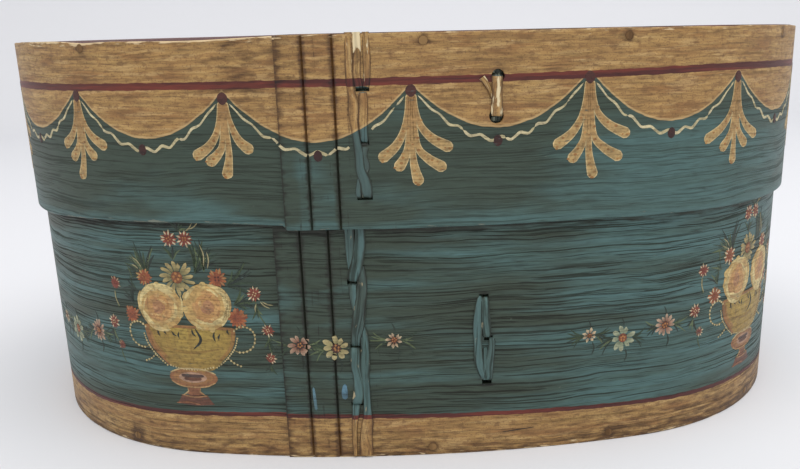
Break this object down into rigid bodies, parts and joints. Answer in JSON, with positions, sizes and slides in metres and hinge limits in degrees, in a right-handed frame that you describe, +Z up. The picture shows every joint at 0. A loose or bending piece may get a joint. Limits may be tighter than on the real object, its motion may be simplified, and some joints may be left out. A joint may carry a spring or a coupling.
{
  "type": "oval bentwood box",
  "caption": "Oval bentwood box with a deep lift-off lid: lapped wooden bands sewn with split root, pegged boards and painted flower ornament.",
  "frame": {"origin": "middle of the foot, on the surface that the box stands on", "axes": "+Z up, +X along the long sides, and the bands' laps face -Y"},
  "size_m": [0.4682, 0.3085, 0.2155],
  "materials": {
    "blue_paint": "worn matte paint on wood",
    "bare_wood": "aged bare softwood",
    "peg_wood": "aged hardwood",
    "split_root": "split root, painted over and worn",
    "red_paint": "worn matte paint on wood",
    "cream_paint": "worn matte paint on wood",
    "flower_paint": "brushed matte paint"
  },
  "bodies": {
    "box": {"body_band": "blue_paint", "bottom_board": "bare_wood", "bottom_pegs": "peg_wood", "body_seam_sewing": "split_root", "body_tack_stitch": "split_root"},
    "lid": {"lid_band": "blue_paint", "lid_board": "red_paint", "lid_pegs": "peg_wood", "lid_seam_sewing": "split_root", "lid_tack_stitch": "split_root"}
  },
  "joints": [
    {"name": "lid_lift", "type": "slide", "parent": "box", "child": "lid", "axis": [0, 0, 1], "range_m": [0, 0.13]}
  ]
}
